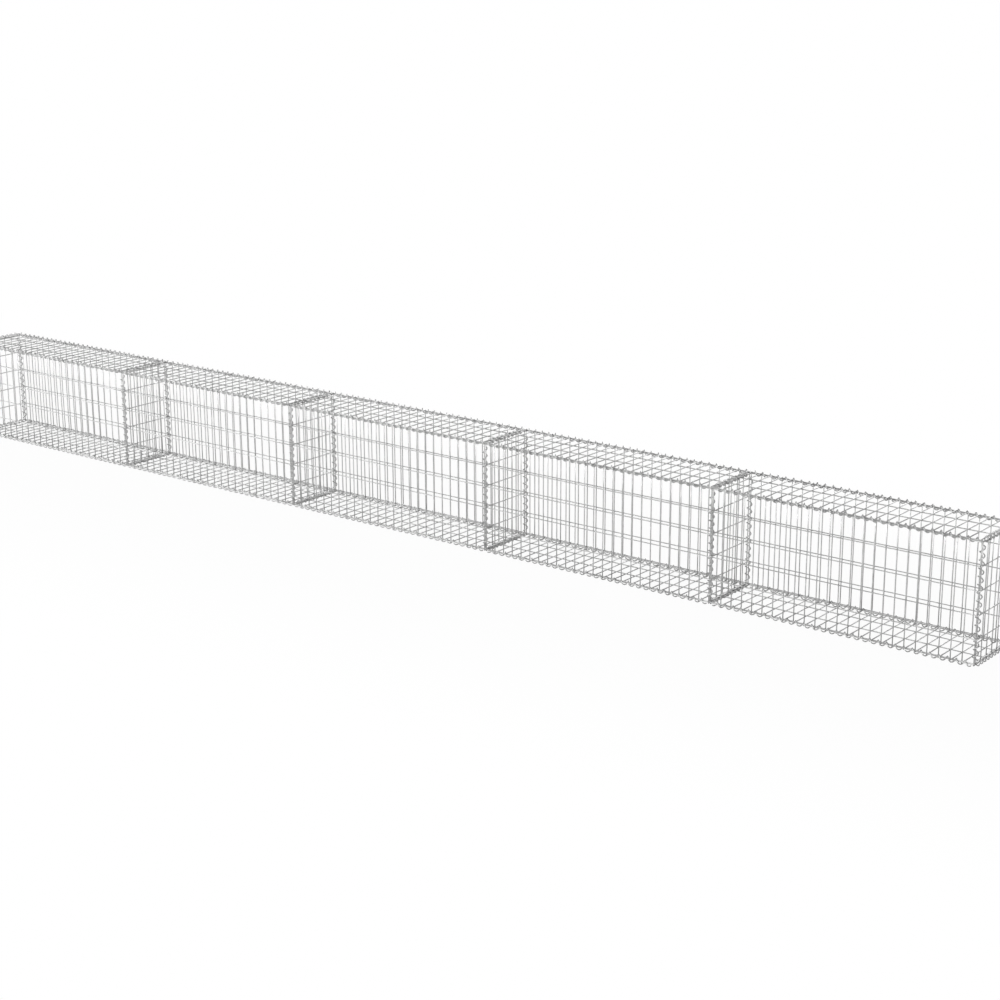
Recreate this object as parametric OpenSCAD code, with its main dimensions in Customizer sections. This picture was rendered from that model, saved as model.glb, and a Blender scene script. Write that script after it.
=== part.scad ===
// A row of empty welded-mesh gabion baskets that share their cross panels.
// Every edge is laced with a wire spiral, so each panel stays a flat piece of its own.
// X runs along the wall, the front faces -Y and the wall stands on Z = 0.

/* [Wall] */
// Number of baskets in the row
bays = 5; // [1:1:6]
// Length of one bay, from cross panel to cross panel
bay_l = 1200; // [600:50:1500]
// Depth of the wall between its front and back edge lines
wall_w = 300; // [200:10:500]
// Height of the wall between its bottom and top edge lines
wall_h = 500; // [300:10:1000]

/* [Mesh] */
// Diameter of the mesh wire
wire_d = 4.5; // [3:0.1:5]
// Spacing of the close wires: uprights, and cross wires of covers and bases
close_pitch = 50; // [40:5:100]
// Spacing of the wide wires: long wires, and level wires of the cross panels
wide_pitch = 100; // [75:5:200]

/* [Lacing] */
// Outside diameter of the lacing spirals
spiral_d = 25; // [22:0.5:40]
// Bare stretch between the spirals that meet at a corner
corner_clear = 2.5; // [0.5:0.5:20]
// Gap between a spiral's envelope and the wires inside it
lacing_clear = 0.4; // [0.3:0.1:0.6]

/* [Hidden] */
$fn = 48;

// Bars are square, with the section area of the round wire
bar = wire_d * sqrt(PI) / 2;
// Crossing wires are welded a little into each other
weld_step = 0.85 * wire_d;
// Inside a spiral the edge wires of two panels lie one over the other
stack = 0.95 * wire_d;
long_wire_step = stack - weld_step;
// End uprights of two neighbouring bays lie side by side
end_in = 0.6 * wire_d;
// A cross panel starts behind the long wires of the front panel
cross_in = 1.1 * wire_d;

spiral_r = spiral_d / 2;
spiral_in = spiral_r + corner_clear;
z_bottom = spiral_r;
z_top = z_bottom + wall_h;
z_middle = (z_bottom + z_top) / 2;
half_w = wall_w / 2;
row_l = bays * bay_l;

// Bores that clear the wires bundled inside each kind of spiral
long_bore = norm([bar / 2, stack + bar / 2]) + lacing_clear;
upright_bore = norm([end_in + bar / 2, weld_step + bar / 2]) + lacing_clear;
cross_bore = norm([end_in + bar / 2, stack + bar / 2]) + lacing_clear;

// How far a bar or a layer of bars reaches from its spiral's axis, with the gap
bar_reach = bar / 2 + lacing_clear;
outer_layer_reach = weld_step + bar_reach;
stack_reach = stack + bar_reach;
long_wire_reach = long_wire_step + bar_reach;
cross_panel_reach = weld_step / 2 + bar_reach;

function bay_x(k) = (k - 1) * bay_l - row_l / 2;
function spaces(length, pitch) = max(1, round(length / pitch));
function spread(first, last, count) = [for (i = [0 : count]) first + (last - first) * i / count];

upright_count = spaces(bay_l, close_pitch);
level_zs = spread(z_bottom + stack, z_top - stack, spaces(wall_h, wide_pitch));
long_ys = spread(-half_w, half_w, spaces(wall_w, wide_pitch));
cross_panel_ys = spread(cross_in - half_w, half_w - cross_in, spaces(wall_w, close_pitch));
function upright_xs(k) = spread(bay_x(k) + end_in, bay_x(k + 1) - end_in, upright_count);

function bay_node(k, part) = str("bay_", k, "_", part);
function frame_name(k) = k == 0 ? "left_end" : k == bays ? "right_end" : str("partition_", k);
function frame_node(k) = k == 0 || k == bays ? str(frame_name(k), "_panel") : frame_name(k);
function frame_spirals_node(k) = str(frame_name(k), "_spirals");

BAY_PARTS = ["front_panel", "back_panel", "cover", "base", "edge_spirals"];

// Flat welded mesh: bars along X at each of ys, and bars along Y at each of xs, lifted by one weld step
module mesh(xs, ys, lift) {
    x_first = xs[0] - bar / 2;
    y_first = ys[0] - bar / 2;
    x_length = xs[len(xs) - 1] - xs[0] + bar;
    y_length = ys[len(ys) - 1] - ys[0] + bar;
    for (y = ys)
        translate([x_first, y - bar / 2, -bar / 2])
            cube([x_length, bar, bar]);
    for (x = xs)
        translate([x - bar / 2, y_first, lift - bar / 2])
            cube([bar, y_length, bar]);
}

// Tube round a laced edge, open towards +X and +Y from the point gap, where the panels come out of it
module open_tube(length, bore, gap) {
    linear_extrude(length)
        difference() {
            circle(d = spiral_d);
            circle(r = bore);
            translate(gap)
                square(2 * spiral_d);
        }
}

module upside_down() {
    translate([0, 0, 2 * z_middle])
        mirror([0, 0, 1])
            children();
}

module front_panel(k) {
    color("gainsboro")
        translate([0, -half_w, 0])
            rotate([90, 0, 0])
                mesh(upright_xs(k), level_zs, weld_step);
}

module back_panel(k) {
    mirror([0, 1, 0])
        front_panel(k);
}

module cover(k) {
    color("gainsboro")
        translate([0, 0, z_top + long_wire_step])
            mesh(upright_xs(k), long_ys, weld_step);
}

module base(k) {
    upside_down()
        cover(k);
}

module cross_panel(k) {
    color("gainsboro")
        translate([bay_x(k + 1) + weld_step / 2, 0, 0])
            rotate([90, 0, 90])
                mesh(cross_panel_ys, level_zs, -weld_step);
}

module long_spiral(k) {
    translate([bay_x(k) + spiral_in, -half_w, z_bottom])
        rotate([90, 0, 90])
            open_tube(bay_l - 2 * spiral_in, long_bore, [-outer_layer_reach, -stack_reach]);
}

module edge_spirals(k) {
    color("silver")
        for (side = [0, 1])
            mirror([0, side, 0]) {
                long_spiral(k);
                upside_down()
                    long_spiral(k);
            }
}

// The two uprights and two cross spirals of one cross panel, open on the sides where a bay joins it
module frame_spirals(k) {
    opening = k == 0 || k == bays ? -cross_panel_reach : -spiral_d;
    color("silver")
        translate([bay_x(k + 1), 0, 0])
            mirror([k == bays ? 1 : 0, 0, 0]) {
                for (side = [0, 1])
                    mirror([0, side, 0])
                        translate([0, -half_w, z_bottom + spiral_in])
                            open_tube(wall_h - 2 * spiral_in, upright_bore, [opening, -bar_reach]);
                cross_spiral(opening);
                upside_down()
                    cross_spiral(opening);
            }
}

module cross_spiral(opening) {
    translate([0, half_w - spiral_in, z_bottom])
        rotate([90, 0, 0])
            open_tube(wall_w - 2 * spiral_in, cross_bore, [opening, -long_wire_reach]);
}

for (k = [1 : bays]) {
    front_panel(k);
    back_panel(k);
    cover(k);
    base(k);
    edge_spirals(k);
}
for (k = [0 : bays]) {
    cross_panel(k);
    frame_spirals(k);
}
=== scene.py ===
"""Looks of an empty gabion wall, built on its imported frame.

Each flat panel becomes welded round wire, and each open tube becomes the coiled lacing wire that it
stands for. The wall is one body, and nothing on it moves.
"""

import logging
import math
import random
from collections.abc import Iterable, Mapping, Sequence
from dataclasses import dataclass, field
from enum import Enum

import bmesh
import bpy
from mathutils import Matrix, Vector


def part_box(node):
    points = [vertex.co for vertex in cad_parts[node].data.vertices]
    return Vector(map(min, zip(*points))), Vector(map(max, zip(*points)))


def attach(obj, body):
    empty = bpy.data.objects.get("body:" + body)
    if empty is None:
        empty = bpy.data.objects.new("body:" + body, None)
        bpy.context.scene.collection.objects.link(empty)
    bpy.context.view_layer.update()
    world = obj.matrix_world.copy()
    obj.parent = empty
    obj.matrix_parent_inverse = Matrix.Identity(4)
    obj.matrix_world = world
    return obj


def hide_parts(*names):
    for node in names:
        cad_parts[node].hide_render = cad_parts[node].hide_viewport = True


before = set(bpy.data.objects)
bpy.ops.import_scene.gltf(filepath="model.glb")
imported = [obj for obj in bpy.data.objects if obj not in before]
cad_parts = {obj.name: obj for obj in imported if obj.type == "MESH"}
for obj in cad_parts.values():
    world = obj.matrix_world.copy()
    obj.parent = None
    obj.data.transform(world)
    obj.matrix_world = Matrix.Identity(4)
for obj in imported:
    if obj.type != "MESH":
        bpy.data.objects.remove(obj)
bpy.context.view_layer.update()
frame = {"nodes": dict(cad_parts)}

BODY = "root"
BATCH_LAYER = "batch"
log = logging.getLogger("gabion")

# Turns that lay a piece's own Z along X or along Y, its other two axes following in order
ONTO_X = Matrix(((0, 0, 1, 0), (1, 0, 0, 0), (0, 1, 0, 0), (0, 0, 0, 1)))
ONTO_Y = Matrix(((0, 1, 0, 0), (0, 0, 1, 0), (1, 0, 0, 0), (0, 0, 0, 1)))

Colour = tuple[float, float, float, float]
WHITE: Colour = (1, 1, 1, 1)


class WireSlot(Enum):
    """The two kinds of wire in the wall, by the material slot of the record."""

    MESH = "mesh_wire"
    SPIRAL = "spiral_wire"


class Signal:
    """A shader socket that works in Python sums, each operator adding its Math node."""

    def __init__(self, sheet: "ShaderSheet", socket: bpy.types.NodeSocket) -> None:
        """Wraps an output socket of a node on the sheet."""
        self.sheet = sheet
        self.socket = socket

    def _math(self, operation: str, first: object, second: object) -> "Signal":
        """Adds one Math node with the two values in that order."""
        return self.sheet.add("ShaderNodeMath", {"operation": operation}, {0: first, 1: second})

    def __add__(self, other: object) -> "Signal":
        """Sum of the two."""
        return self._math("ADD", self, other)

    __radd__ = __add__

    def __sub__(self, other: object) -> "Signal":
        """This value less the other."""
        return self._math("SUBTRACT", self, other)

    def __rsub__(self, other: object) -> "Signal":
        """The other value less this one."""
        return self._math("SUBTRACT", other, self)

    def __mul__(self, other: object) -> "Signal":
        """Product of the two."""
        return self._math("MULTIPLY", self, other)

    __rmul__ = __mul__

    def between(self, low: float, high: float) -> "Signal":
        """Fades from 0 at low to 1 at high, smoothly and without leaving that range.

        Args:
            low: Value that becomes 0.
            high: Value that becomes 1.

        Returns:
            The faded value.
        """
        limits = {"Value": self, "From Min": low, "From Max": high}
        return self.sheet.add("ShaderNodeMapRange", {"interpolation_type": "SMOOTHSTEP"}, limits)


class ShaderSheet:
    """The node tree of one material or of the world, filled by short calls."""

    def __init__(self, owner: bpy.types.Material | bpy.types.World) -> None:
        """Clears the owner's nodes.

        Args:
            owner: Material or world whose nodes are written.
        """
        owner.use_nodes = True
        self.tree = owner.node_tree
        self.tree.nodes.clear()

    def add(
        self,
        kind: str,
        settings: Mapping[str, object] | None = None,
        values: Mapping[str | int, object] | None = None,
        out: str | int = 0,
    ) -> Signal:
        """Adds a node, with its settings first and its sockets after them.

        Args:
            kind: Node type, such as ShaderNodeTexNoise.
            settings: Properties of the node by name.
            values: Numbers, colours or signals by input socket.
            out: Output socket that is wanted.

        Returns:
            The wanted output.
        """
        node = self.tree.nodes.new(kind)
        for name, setting in (settings or {}).items():
            setattr(node, name, setting)
        for name, value in (values or {}).items():
            if isinstance(value, Signal):
                self.tree.links.new(value.socket, node.inputs[name])
            else:
                node.inputs[name].default_value = value
        return Signal(self, node.outputs[out])

    def mix_colour(self, factor: Signal, low: object, high: object) -> Signal:
        """Colour that goes from low to high as the factor goes from 0 to 1."""
        return self.add("ShaderNodeMix", {"data_type": "RGBA"}, {0: factor, 6: low, 7: high}, 2)

    def noise(self, scale: float, detail: float) -> Signal:
        """Cloudy noise fixed to the piece, from about 0.25 to 0.75."""
        place = self.add("ShaderNodeTexCoord", out="Object")
        return self.add("ShaderNodeTexNoise", values={"Vector": place, "Scale": scale, "Detail": detail})

    def crystals(self, scale: float) -> Signal:
        """A random value for each cell of a crystal pattern.

        Args:
            scale: Number of cells along a metre.

        Returns:
            The value, from 0 to 1.
        """
        place = self.add("ShaderNodeTexCoord", out="Object")
        cells = self.add("ShaderNodeTexVoronoi", values={"Vector": place, "Scale": scale}, out="Color")
        return self.add("ShaderNodeSeparateColor", values={"Color": cells})

    def camera_ray(self) -> Signal:
        """1 where the camera looks straight at the surface, and 0 for every other ray."""
        return self.add("ShaderNodeLightPath", out="Is Camera Ray")

    def close_surface(self, shader: Signal) -> None:
        """Joins the shader to the surface output."""
        self.add_output("ShaderNodeOutputMaterial", shader)

    def add_output(self, kind: str, shader: Signal) -> None:
        """Joins the shader to an output node of the given kind."""
        node = self.tree.nodes.new(kind)
        self.tree.links.new(shader.socket, node.inputs["Surface"])


@dataclass(frozen=True)
class ZincFinish:
    """Galvanised wire: grey zinc with faint crystals, cloudy bloom and a slightly gritty skin."""

    name: str
    dull: Colour
    bright: Colour
    metallic: float = 0.9
    smooth: float = 0.36
    rough: float = 0.60
    cloud_scale: float = 6.0
    bloom_scale: float = 31.0
    crystal_scale: float = 420.0
    grit_scale: float = 1700.0
    grit_height: float = 0.00016
    cloud_share: float = 0.34
    grain_share: float = 0.24
    batch_share: float = 0.30
    bloom_share: float = 0.12
    bloom_dulls: float = 0.25

    def material(self) -> bpy.types.Material:
        """Makes the material.

        Returns:
            The finished material.
        """
        made = bpy.data.materials.new(self.name)
        sheet = ShaderSheet(made)
        clouds = sheet.noise(self.cloud_scale, 3.0).between(0.32, 0.68)
        bloom = sheet.noise(self.bloom_scale, 4.0).between(0.50, 0.72)
        grit = sheet.noise(self.grit_scale, 2.0)
        grains = sheet.crystals(self.crystal_scale)
        batch = sheet.add("ShaderNodeAttribute", {"attribute_name": BATCH_LAYER}, out="Fac")
        lightness = self.cloud_share * clouds + self.grain_share * grains
        lightness = lightness + self.batch_share * batch + self.bloom_share * bloom
        shader = sheet.add(
            "ShaderNodeBsdfPrincipled",
            values={
                "Base Color": sheet.mix_colour(lightness, self.dull, self.bright),
                "Metallic": self.metallic - self.bloom_dulls * bloom,
                "Roughness": self.smooth + (self.rough - self.smooth) * (0.55 * bloom + 0.45 * grit),
                "Normal": sheet.add(
                    "ShaderNodeBump",
                    values={
                        "Strength": 0.45,
                        "Distance": self.grit_height,
                        "Height": 0.7 * grit + 0.3 * grains,
                    },
                ),
            },
        )
        sheet.close_surface(shader)
        return made


@dataclass(frozen=True)
class SteelFinish:
    """Steel that the heat of the weld or the shears left dull, with blotches."""

    name: str
    light: Colour
    dark: Colour
    metallic: float
    rough: float
    blotch_scale: float
    blotch_height: float
    blotch_dulls: float = 0.12

    def material(self) -> bpy.types.Material:
        """Makes the material.

        Returns:
            The finished material.
        """
        made = bpy.data.materials.new(self.name)
        sheet = ShaderSheet(made)
        blotches = sheet.noise(self.blotch_scale, 3.0).between(0.35, 0.65)
        lumps = {"Strength": 0.6, "Distance": self.blotch_height, "Height": blotches}
        shader = sheet.add(
            "ShaderNodeBsdfPrincipled",
            values={
                "Base Color": sheet.mix_colour(blotches, self.light, self.dark),
                "Metallic": self.metallic,
                "Roughness": self.rough + self.blotch_dulls * blotches,
                "Normal": sheet.add("ShaderNodeBump", values=lumps),
            },
        )
        sheet.close_surface(shader)
        return made


PANEL_ZINC = ZincFinish("panel_zinc", dull=(0.36, 0.36, 0.36, 1), bright=(0.61, 0.61, 0.61, 1))
SPIRAL_ZINC = ZincFinish(
    "spiral_zinc", dull=(0.40, 0.40, 0.40, 1), bright=(0.68, 0.68, 0.68, 1), smooth=0.30, rough=0.52
)
WELD_SPOT = SteelFinish(
    "weld_spot",
    light=(0.33, 0.33, 0.33, 1),
    dark=(0.20, 0.20, 0.20, 1),
    metallic=0.75,
    rough=0.55,
    blotch_scale=900.0,
    blotch_height=0.0003,
)
SHEARED_END = SteelFinish(
    "sheared_end",
    light=(0.38, 0.38, 0.38, 1),
    dark=(0.19, 0.19, 0.19, 1),
    metallic=0.9,
    rough=0.42,
    blotch_scale=1500.0,
    blotch_height=0.0002,
)


class Face(Enum):
    """Which finish a face of a piece takes, by its place in the piece's list of materials."""

    ZINC = 0
    WELD = 1
    CUT = 2


@dataclass(frozen=True)
class RoundWire:
    """Drawn wire as it comes off the reel."""

    radius: float = 0.00225
    sides: int = 8
    burr: float = 0.0004

    def straight(self, bm: bmesh.types.BMesh, length: float, stretches: int) -> list[bmesh.types.BMVert]:
        """Adds a straight length of wire along Z, centred, with its cut ends eased.

        Args:
            bm: Mesh that takes the wire.
            length: Cut length.
            stretches: Number of stretches that it can bend between.

        Returns:
            The wire's vertices.
        """
        kept = set(bm.faces)
        bmesh.ops.create_cone(
            bm,
            cap_ends=True,
            segments=self.sides,
            radius1=self.radius,
            radius2=self.radius,
            depth=length,
        )
        edges = {edge for face in bm.faces if face not in kept for edge in face.edges}
        rims = [edge for edge in edges if abs(edge.verts[0].co.z - edge.verts[1].co.z) < length / 2]
        bmesh.ops.bevel(
            bm, geom=rims, offset=self.burr, affect="EDGES", segments=1, profile=0.5, material=-1
        )
        faces = [face for face in bm.faces if face not in kept]
        runs = {edge for face in faces for edge in face.edges if edge.calc_length() > length / 2}
        bmesh.ops.subdivide_edges(bm, edges=list(runs), cuts=stretches - 1, use_grid_fill=True)
        faces = [face for face in bm.faces if face not in kept]
        for face in faces:
            face.normal_update()
            face.smooth = abs(face.normal.z) < 0.5
            face.material_index = (Face.ZINC if face.smooth else Face.CUT).value
        return list({vert for face in faces for vert in face.verts})


@dataclass(frozen=True)
class Layers:
    """Where the wires lie from the wall's edge lines, in metres.

    The wires of a panel are one weld step apart. Inside a spiral, the edge wires of an upright panel
    lie one stack from the edge line. The front and back panels have their long wires outermost. The
    frame's own bars lie within 5 mm of these places.
    """

    weld_step: float = 0.003825
    stack: float = 0.004275
    end_in: float = 0.00495
    cross_in: float = 0.005175
    face_out: float = 0.00315
    spiral_in: float = 0.0150
    half_width: float = 0.150
    bottom: float = 0.0125
    top: float = 0.5125

    @property
    def middle(self) -> float:
        """Height of the wall's middle."""
        return (self.bottom + self.top) / 2

    @property
    def cover_lift(self) -> float:
        """How far the cover's long wires lie above the top edge line."""
        return self.stack - self.weld_step

    def levels(self, cells: int) -> list[float]:
        """Heights of an upright panel's level wires, from the wall's middle."""
        reach = self.top - self.stack - self.middle
        return spread(-reach, reach, cells)


def spread(first: float, last: float, spaces: int) -> list[float]:
    """Evenly spaced places from first to last, both included."""
    return [first + (last - first) * i / spaces for i in range(spaces + 1)]


def half_turn(axis: str, through: Vector) -> Matrix:
    """Half a turn about a line along X, Y or Z through a point."""
    return Matrix.Translation(through) @ Matrix.Rotation(math.pi, 4, axis) @ Matrix.Translation(-through)


def lay_copies(
    bm: bmesh.types.BMesh, verts: Sequence[bmesh.types.BMVert], places: Sequence[Matrix], dice: random.Random
) -> None:
    """Puts a copy of a shape at each place, and moves the shape itself to the last of them.

    Args:
        bm: Mesh that holds the shape.
        verts: The shape's vertices.
        places: Where the copies go.
        dice: Seeded source of each copy's batch tone.
    """
    batch = bm.verts.layers.float.get(BATCH_LAYER)
    faces = list({face for vert in verts for face in vert.link_faces})
    for place in places[:-1]:
        made = bmesh.ops.duplicate(bm, geom=[*verts, *{e for f in faces for e in f.edges}, *faces])
        copied = [item for item in made["geom"] if isinstance(item, bmesh.types.BMVert)]
        tone = dice.random()
        for vert in copied:
            vert[batch] = tone
        bmesh.ops.transform(bm, matrix=place, verts=copied)
    tone = dice.random()
    for vert in verts:
        vert[batch] = tone
    bmesh.ops.transform(bm, matrix=places[-1], verts=list(verts))


@dataclass
class WeldedPanel:
    """A flat panel of welded wire, laid out in its own plane and then stood in the wall.

    Long wires run along the panel's own X, and cross wires along its Y, lifted by one weld step.
    """

    node: str
    long_at: Sequence[float]
    cross_at: Sequence[float]
    lift: float
    stand: Matrix
    wire: RoundWire = field(default_factory=RoundWire)
    bow: float = 0.0008
    bead: tuple[float, float, float] = (0.0029, 0.0029, 0.0014)
    bead_spread: tuple[float, float] = (0.9, 1.12)

    def build(self, dice: random.Random) -> bmesh.types.BMesh:
        """Lays the wires, welds them, lets the panel bow a little and stands it up.

        Args:
            dice: Seeded source of the small differences between wires.

        Returns:
            The panel, in the wall's frame.
        """
        bm = bmesh.new()
        bm.verts.layers.float.new(BATCH_LAYER)
        self._lay_wires(bm, dice)
        self._weld(bm, dice)
        self._bow(bm, dice)
        bmesh.ops.transform(bm, matrix=self.stand, verts=bm.verts)
        return bm

    def _lay_wires(self, bm: bmesh.types.BMesh, dice: random.Random) -> None:
        """Adds the long wires, and the layer of cross wires that is welded to them.

        Args:
            bm: Mesh that takes the wires.
            dice: Seeded source of each wire's tone.
        """
        trim = 2 * self.wire.radius
        mid_x = (self.cross_at[0] + self.cross_at[-1]) / 2
        mid_y = (self.long_at[0] + self.long_at[-1]) / 2
        length = self.cross_at[-1] - self.cross_at[0] + trim
        width = self.long_at[-1] - self.long_at[0] + trim
        along = Matrix.Rotation(math.pi / 2, 4, "Y")
        across = Matrix.Rotation(-math.pi / 2, 4, "X")
        long_places = [Matrix.Translation((mid_x, y, 0)) @ along for y in self.long_at]
        cross_places = [Matrix.Translation((x, mid_y, self.lift)) @ across for x in self.cross_at]
        long_wire = self.wire.straight(bm, length, max(2, (len(self.cross_at) - 1) // 2))
        lay_copies(bm, long_wire, long_places, dice)
        cross_wire = self.wire.straight(bm, width, len(self.long_at) - 1)
        lay_copies(bm, cross_wire, cross_places, dice)

    def _weld(self, bm: bmesh.types.BMesh, dice: random.Random) -> None:
        """Adds the bead of squeezed metal at each crossing.

        Args:
            bm: Mesh that takes the beads.
            dice: Seeded source of each bead's size, turn and tone.
        """
        before = set(bm.faces)
        made = bmesh.ops.create_uvsphere(bm, u_segments=8, v_segments=5, radius=1.0)
        for face in bm.faces:
            if face not in before:
                face.smooth = True
                face.material_index = Face.WELD.value
        places = []
        for x in self.cross_at:
            for y in self.long_at:
                size = [side * dice.uniform(*self.bead_spread) for side in self.bead]
                turn = Matrix.Rotation(dice.uniform(0, math.pi / 4), 4, "Z")
                places.append(Matrix.LocRotScale(Vector((x, y, self.lift / 2)), turn.to_quaternion(), size))
        lay_copies(bm, made["verts"], places, dice)

    def _bow(self, bm: bmesh.types.BMesh, dice: random.Random) -> None:
        """Bends the panel out of its plane by a millimetre or so, and not at its laced edges.

        Args:
            bm: The flat panel, which is bent in place.
            dice: Seeded source of the two waves' heights.
        """
        x0, x1 = self.cross_at[0], self.cross_at[-1]
        y0, y1 = self.long_at[0], self.long_at[-1]
        first = dice.uniform(-self.bow, self.bow)
        second = dice.uniform(-self.bow, self.bow) / 2
        for vert in bm.verts:
            s = math.pi * min(1.0, max(0.0, (vert.co.x - x0) / (x1 - x0)))
            t = math.pi * min(1.0, max(0.0, (vert.co.y - y0) / (y1 - y0)))
            vert.co.z += math.sin(t) * (first * math.sin(s) + second * math.sin(2 * s))


@dataclass
class LacingSpiral:
    """Coiled lacing wire, wound along its own Z from the height of its first cut end."""

    length: float
    pitch: float
    start_angle: float
    wire: RoundWire = field(default_factory=lambda: RoundWire(radius=0.0025))
    coil_radius: float = 0.00992
    steps_per_turn: int = 18
    end_inset: float = 0.0027

    def build(self, bm: bmesh.types.BMesh) -> list[bmesh.types.BMVert]:
        """Winds the wire and closes its cut ends.

        Args:
            bm: Mesh that takes the spiral.

        Returns:
            The spiral's vertices.
        """
        kept = set(bm.verts)
        wound = self.length - 2 * self.end_inset
        steps = round(wound / self.pitch * self.steps_per_turn)
        rise = wound / steps
        lead = math.atan2(self.pitch, 2 * math.pi * self.coil_radius)
        ring = bmesh.ops.create_circle(bm, segments=self.wire.sides, radius=self.wire.radius)["verts"]
        tilt = Matrix.Rotation(lead - math.pi / 2, 4, "X")
        place = Matrix.Translation((self.coil_radius, 0, self.end_inset))
        bmesh.ops.transform(bm, matrix=Matrix.Rotation(self.start_angle, 4, "Z") @ place @ tilt, verts=ring)
        edges = list({edge for vert in ring for edge in vert.link_edges})
        bmesh.ops.spin(
            bm,
            geom=[*ring, *edges],
            cent=(0, 0, 0),
            axis=(0, 0, 1),
            dvec=(0, 0, rise),
            angle=2 * math.pi * wound / self.pitch,
            steps=steps,
        )
        verts = [vert for vert in bm.verts if vert not in kept]
        sides = list({face for vert in verts for face in vert.link_faces})
        for face in sides:
            face.smooth = True
        rims = list({edge for face in sides for edge in face.edges if edge.is_boundary})
        for cap in bmesh.ops.holes_fill(bm, edges=rims, sides=self.wire.sides)["faces"]:
            cap.material_index = Face.CUT.value
            sides.append(cap)
        bmesh.ops.recalc_face_normals(bm, faces=sides)
        return verts


class Workshop:
    """Turns finished meshes into pieces of the wall, dressed and riding on its body."""

    def __init__(self) -> None:
        """Makes each finish once."""
        cut = SHEARED_END.material()
        weld = WELD_SPOT.material()
        self.finishes = {
            WireSlot.MESH: [PANEL_ZINC.material(), weld, cut],
            WireSlot.SPIRAL: [SPIRAL_ZINC.material(), weld, cut],
        }

    def hand_over(self, bm: bmesh.types.BMesh, node: str, slot: WireSlot) -> bpy.types.Object:
        """Makes the piece that stands for a node of the frame.

        Args:
            bm: The piece's mesh, in the wall's frame. It is freed.
            node: Node of the frame that the piece replaces.
            slot: Kind of wire, which gives the finishes.

        Returns:
            The new object.
        """
        mesh = bpy.data.meshes.new(f"{node}_wire")
        bm.to_mesh(mesh)
        bm.free()
        for finish in self.finishes[slot]:
            mesh.materials.append(finish)
        piece = bpy.data.objects.new(f"{node}_wire", mesh)
        bpy.context.scene.collection.objects.link(piece)
        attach(piece, BODY)
        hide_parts(node)
        self._report(piece, node)
        return piece

    @staticmethod
    def _report(piece: bpy.types.Object, node: str) -> None:
        """Logs the piece's triangles, and how far its box is from the node's.

        Args:
            piece: The finished piece.
            node: Node of the frame that it replaces.
        """
        low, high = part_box(node)
        corners = [Vector(corner) for corner in piece.bound_box]
        own_low = Vector(min(c[i] for c in corners) for i in range(3))
        own_high = Vector(max(c[i] for c in corners) for i in range(3))
        off = max(*(abs(v) for v in own_low - low), *(abs(v) for v in own_high - high))
        triangles = sum(len(face.vertices) - 2 for face in piece.data.polygons)
        log.info("%s: %d triangles, box within %.2f mm of its node", piece.name, triangles, 1000 * off)


@dataclass
class Bay:
    """One basket: front, back, cover and base panels, and the spirals along its four long edges."""

    number: int
    left: float
    right: float
    layers: Layers = field(default_factory=Layers)
    close_cells: int = 24
    wide_cells_high: int = 5
    wide_cells_deep: int = 3
    long_pitch: float = 0.03733
    long_angle: float = math.radians(225)

    def node(self, part: str) -> str:
        """Name of one of this bay's nodes."""
        return f"bay_{self.number}_{part}"

    def panels(self) -> list[WeldedPanel]:
        """Lays out the four panels.

        Returns:
            The front, back, cover and base panels.
        """
        at = self.layers
        half = (self.right - self.left) / 2
        uprights = spread(at.end_in - half, half - at.end_in, self.close_cells)
        levels = at.levels(self.wide_cells_high)
        depths = spread(-at.half_width, at.half_width, self.wide_cells_deep)
        centre = Vector(((self.left + self.right) / 2, 0, at.middle))
        upright = Matrix.Rotation(math.pi / 2, 4, "X")
        front = Matrix.Translation(centre - Vector((0, at.half_width + at.face_out, 0))) @ upright
        cover = Matrix.Translation((centre.x, 0, at.top + at.cover_lift))
        behind = half_turn("Z", centre) @ front
        below = half_turn("X", centre) @ cover
        return [
            WeldedPanel(self.node("front_panel"), levels, uprights, -at.weld_step, front),
            WeldedPanel(self.node("back_panel"), levels, uprights, -at.weld_step, behind),
            WeldedPanel(self.node("cover"), depths, uprights, at.weld_step, cover),
            WeldedPanel(self.node("base"), depths, uprights, at.weld_step, below),
        ]

    def edge_spirals(self, dice: random.Random) -> bmesh.types.BMesh:
        """Winds the four long spirals, all of the same hand.

        Args:
            dice: Seeded source of each spiral's tone.

        Returns:
            The spirals, in the wall's frame.
        """
        at = self.layers
        bm = bmesh.new()
        bm.verts.layers.float.new(BATCH_LAYER)
        spiral = LacingSpiral(self.right - self.left - 2 * at.spiral_in, self.long_pitch, self.long_angle)
        centre = Vector(((self.left + self.right) / 2, 0, at.middle))
        front = Matrix.Translation((self.left + at.spiral_in, -at.half_width, at.bottom)) @ ONTO_X
        turns = [half_turn(axis, centre) @ front for axis in "XYZ"]
        lay_copies(bm, spiral.build(bm), [*turns, front], dice)
        return bm

    def make(self, shop: Workshop) -> None:
        """Builds the bay's five pieces and hands them over.

        Args:
            shop: Workshop that dresses them.
        """
        for panel in self.panels():
            shop.hand_over(panel.build(random.Random(panel.node)), panel.node, WireSlot.MESH)
        node = self.node("edge_spirals")
        shop.hand_over(self.edge_spirals(random.Random(node)), node, WireSlot.SPIRAL)


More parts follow.
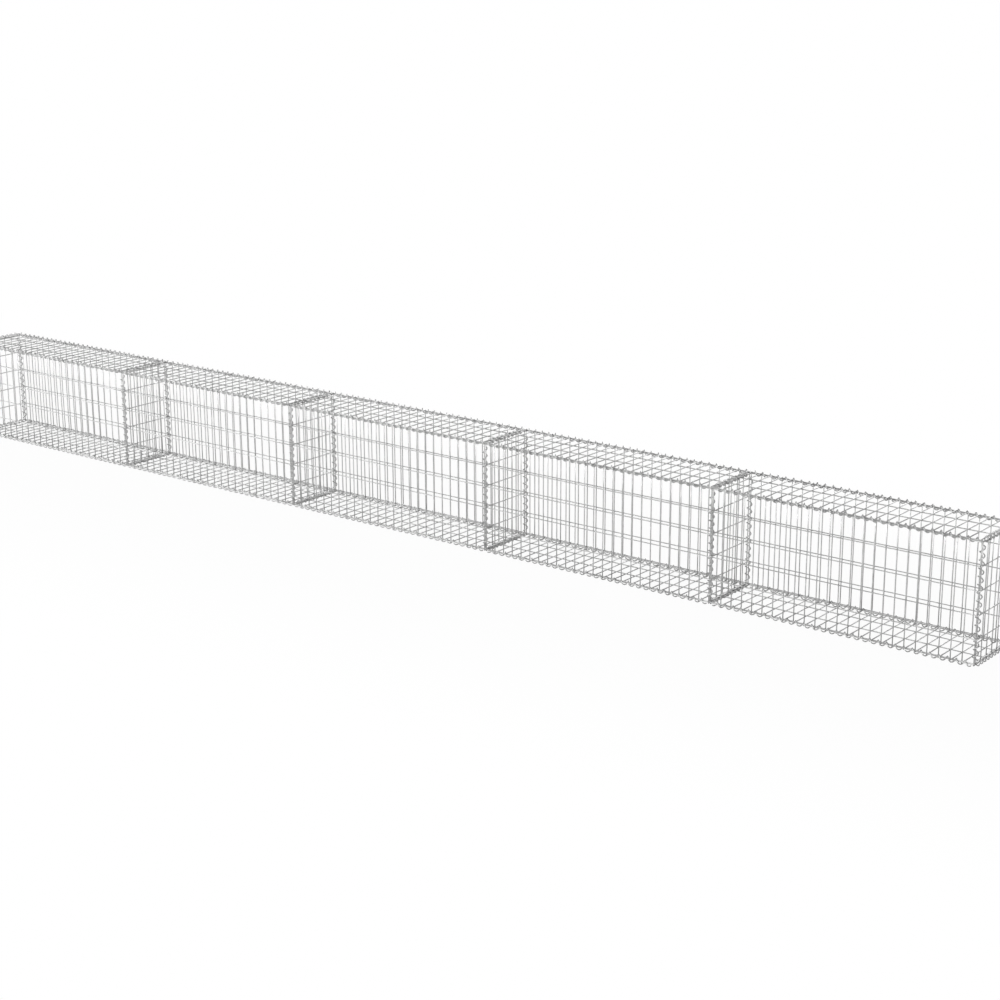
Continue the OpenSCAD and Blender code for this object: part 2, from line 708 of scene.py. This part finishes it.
@dataclass
class CrossFrame:
    """One cross panel, with the two upright and the two cross spirals that lace it in."""

    panel_node: str
    spirals_node: str
    at_x: float
    layers: Layers = field(default_factory=Layers)
    close_cells: int = 6
    wide_cells: int = 5
    upright_pitch: float = 0.03276
    upright_angle: float = math.radians(58)
    cross_pitch: float = 0.02901
    cross_angle: float = math.radians(86)

    def panel(self) -> WeldedPanel:
        """Lays out the cross panel, its uprights on the left of its level wires.

        Returns:
            The panel.
        """
        at = self.layers
        reach = at.half_width - at.cross_in
        uprights = spread(-reach, reach, self.close_cells)
        stand = Matrix.Translation((self.at_x + at.weld_step / 2, 0, at.middle)) @ ONTO_X
        return WeldedPanel(self.panel_node, at.levels(self.wide_cells), uprights, -at.weld_step, stand)

    def spirals(self, dice: random.Random) -> bmesh.types.BMesh:
        """Winds the two upright and the two cross spirals.

        Args:
            dice: Seeded source of each spiral's tone.

        Returns:
            The spirals, in the wall's frame.
        """
        at = self.layers
        bm = bmesh.new()
        bm.verts.layers.float.new(BATCH_LAYER)
        centre = Vector((self.at_x, 0, at.middle))
        upright = LacingSpiral(at.top - at.bottom - 2 * at.spiral_in, self.upright_pitch, self.upright_angle)
        front = Matrix.Translation((self.at_x, -at.half_width, at.bottom + at.spiral_in))
        lay_copies(bm, upright.build(bm), [half_turn("Z", centre) @ front, front], dice)
        across = LacingSpiral(2 * (at.half_width - at.spiral_in), self.cross_pitch, self.cross_angle)
        low = Matrix.Translation((self.at_x, at.spiral_in - at.half_width, at.bottom)) @ ONTO_Y
        lay_copies(bm, across.build(bm), [half_turn("X", centre) @ low, low], dice)
        return bm

    def make(self, shop: Workshop) -> None:
        """Builds the frame's two pieces and hands them over.

        Args:
            shop: Workshop that dresses them.
        """
        panel = self.panel()
        shop.hand_over(panel.build(random.Random(panel.node)), panel.node, WireSlot.MESH)
        spirals = self.spirals(random.Random(self.spirals_node))
        shop.hand_over(spirals, self.spirals_node, WireSlot.SPIRAL)


class GabionWall:
    """The whole row, taken from the nodes of the frame."""

    def __init__(self, nodes: Iterable[str]) -> None:
        """Finds the cross panels and the bays between them.

        Args:
            nodes: Names of the frame's nodes.
        """
        spirals = {name for name in nodes if name.endswith("_spirals") and not name.startswith("bay_")}
        frames = []
        for name in spirals:
            stem = name.removesuffix("_spirals")
            panel = stem if stem in nodes else f"{stem}_panel"
            low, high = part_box(panel)
            frames.append(CrossFrame(panel, name, (low.x + high.x) / 2))
        self.frames = sorted(frames, key=lambda made: made.at_x)
        ends = [made.at_x for made in self.frames]
        self.bays = [Bay(i + 1, left, right) for i, (left, right) in enumerate(zip(ends, ends[1:]))]

    def make(self, shop: Workshop) -> None:
        """Builds every piece of the wall."""
        for part in [*self.bays, *self.frames]:
            part.make(shop)


@dataclass(frozen=True)
class Viewpoint:
    """Where the camera stands and how it is turned, in metres and degrees."""

    stand: tuple[float, float, float] = (6.0354, -6.9743, 2.7989)
    azimuth: float = 38.097
    elevation: float = 16.310
    roll: float = -0.194
    lens: float = 72.49
    sensor: float = 36.0
    nearest: float = 0.1
    furthest: float = 500.0

    def set_camera(self) -> bpy.types.Object:
        """Makes the camera and gives it to the scene.

        Returns:
            The camera.
        """
        data = bpy.data.cameras.new("camera")
        data.lens = self.lens
        data.sensor_width = self.sensor
        data.clip_start = self.nearest
        data.clip_end = self.furthest
        camera = bpy.data.objects.new("camera", data)
        bpy.context.scene.collection.objects.link(camera)
        turn = (
            Matrix.Rotation(math.radians(self.azimuth), 4, "Z")
            @ Matrix.Rotation(math.radians(90 - self.elevation), 4, "X")
            @ Matrix.Rotation(math.radians(self.roll), 4, "Z")
        )
        camera.matrix_world = Matrix.Translation(self.stand) @ turn
        bpy.context.scene.camera = camera
        return camera


@dataclass(frozen=True)
class SoftBox:
    """A square softbox that faces the middle of the wall."""

    name: str
    stand: tuple[float, float, float]
    side: float
    power: float

    def hang(self, towards: Vector) -> None:
        """Hangs the light.

        Args:
            towards: Point that it faces.
        """
        data = bpy.data.lights.new(self.name, "AREA")
        data.shape = "SQUARE"
        data.size = self.side
        data.energy = self.power
        light = bpy.data.objects.new(self.name, data)
        bpy.context.scene.collection.objects.link(light)
        facing = (towards - Vector(self.stand)).to_track_quat("-Z", "Y")
        light.matrix_world = Matrix.Translation(self.stand) @ facing.to_matrix().to_4x4()


@dataclass(frozen=True)
class Studio:
    """A plain pale floor under soft light, with a white surround."""

    floor_side: float = 160.0
    floor_colour: Colour = (0.86, 0.86, 0.86, 1)
    floor_glow: float = 0.95
    shadow_reach: tuple[float, float] = (0.4, 2.2)
    shadow_squeeze: tuple[float, float, float] = (0.12, 1, 1)
    horizon_level: float = 1.2
    zenith_level: float = 0.15
    zenith_from: float = 0.8
    aim: tuple[float, float, float] = (0.0, 0.0, 0.25)
    boxes: tuple[SoftBox, ...] = (
        SoftBox("key_box", (5.0, -9.0, 3.0), 5.0, 700.0),
        SoftBox("fill_box", (-7.0, -6.0, 3.0), 5.0, 500.0),
        SoftBox("back_box", (0.0, 8.0, 3.0), 5.0, 300.0),
    )

    def set_up(self) -> None:
        """Lays the floor, lights the surround and hangs the softboxes."""
        self._lay_floor()
        self._light_surround()
        for box in self.boxes:
            box.hang(Vector(self.aim))

    def _lay_floor(self) -> None:
        """Lays a pale floor that reads as white and still takes a faint shadow."""
        bm = bmesh.new()
        bmesh.ops.create_grid(bm, x_segments=1, y_segments=1, size=self.floor_side / 2)
        mesh = bpy.data.meshes.new("floor")
        bm.to_mesh(mesh)
        bm.free()
        made = bpy.data.materials.new("pale_floor")
        sheet = ShaderSheet(made)
        paint = sheet.add("ShaderNodeBsdfDiffuse", values={"Color": self.floor_colour})
        glow = sheet.add("ShaderNodeEmission", values={"Color": WHITE, "Strength": 1.0})
        place = sheet.add("ShaderNodeTexCoord", out="Object")
        spot = sheet.add("ShaderNodeMapping", values={"Vector": place, "Scale": self.shadow_squeeze})
        away = sheet.add("ShaderNodeVectorMath", {"operation": "LENGTH"}, {0: spot}, "Value")
        glow_share = self.floor_glow + (1 - self.floor_glow) * away.between(*self.shadow_reach)
        share = sheet.camera_ray() * glow_share
        sheet.close_surface(sheet.add("ShaderNodeMixShader", values={0: share, 1: paint, 2: glow}))
        mesh.materials.append(made)
        floor = bpy.data.objects.new("floor", mesh)
        bpy.context.scene.collection.objects.link(floor)

    def _light_surround(self) -> None:
        """Lights the wall most from the horizon and least from above, and shows white to the camera."""
        world = bpy.data.worlds.new("surround")
        bpy.context.scene.world = world
        sheet = ShaderSheet(world)
        towards = sheet.add("ShaderNodeTexCoord", out="Generated")
        height = sheet.add("ShaderNodeSeparateXYZ", values={"Vector": towards}, out="Z")
        fade = height.between(0.0, self.zenith_from)
        level = self.horizon_level + (self.zenith_level - self.horizon_level) * fade
        sky = sheet.add("ShaderNodeBackground", values={"Color": WHITE, "Strength": level})
        white = sheet.add("ShaderNodeBackground", values={"Color": WHITE, "Strength": 1.0})
        mixed = sheet.add("ShaderNodeMixShader", values={0: sheet.camera_ray(), 1: sky, 2: white})
        sheet.add_output("ShaderNodeOutputWorld", mixed)


def main() -> None:
    """Builds the wall, the studio and the camera."""
    logging.basicConfig(level=logging.INFO, format="%(name)s: %(message)s")
    bpy.context.scene.view_settings.view_transform = "Standard"
    GabionWall(frame["nodes"]).make(Workshop())
    Studio().set_up()
    Viewpoint().set_camera()


if __name__ == "__main__":
    main()
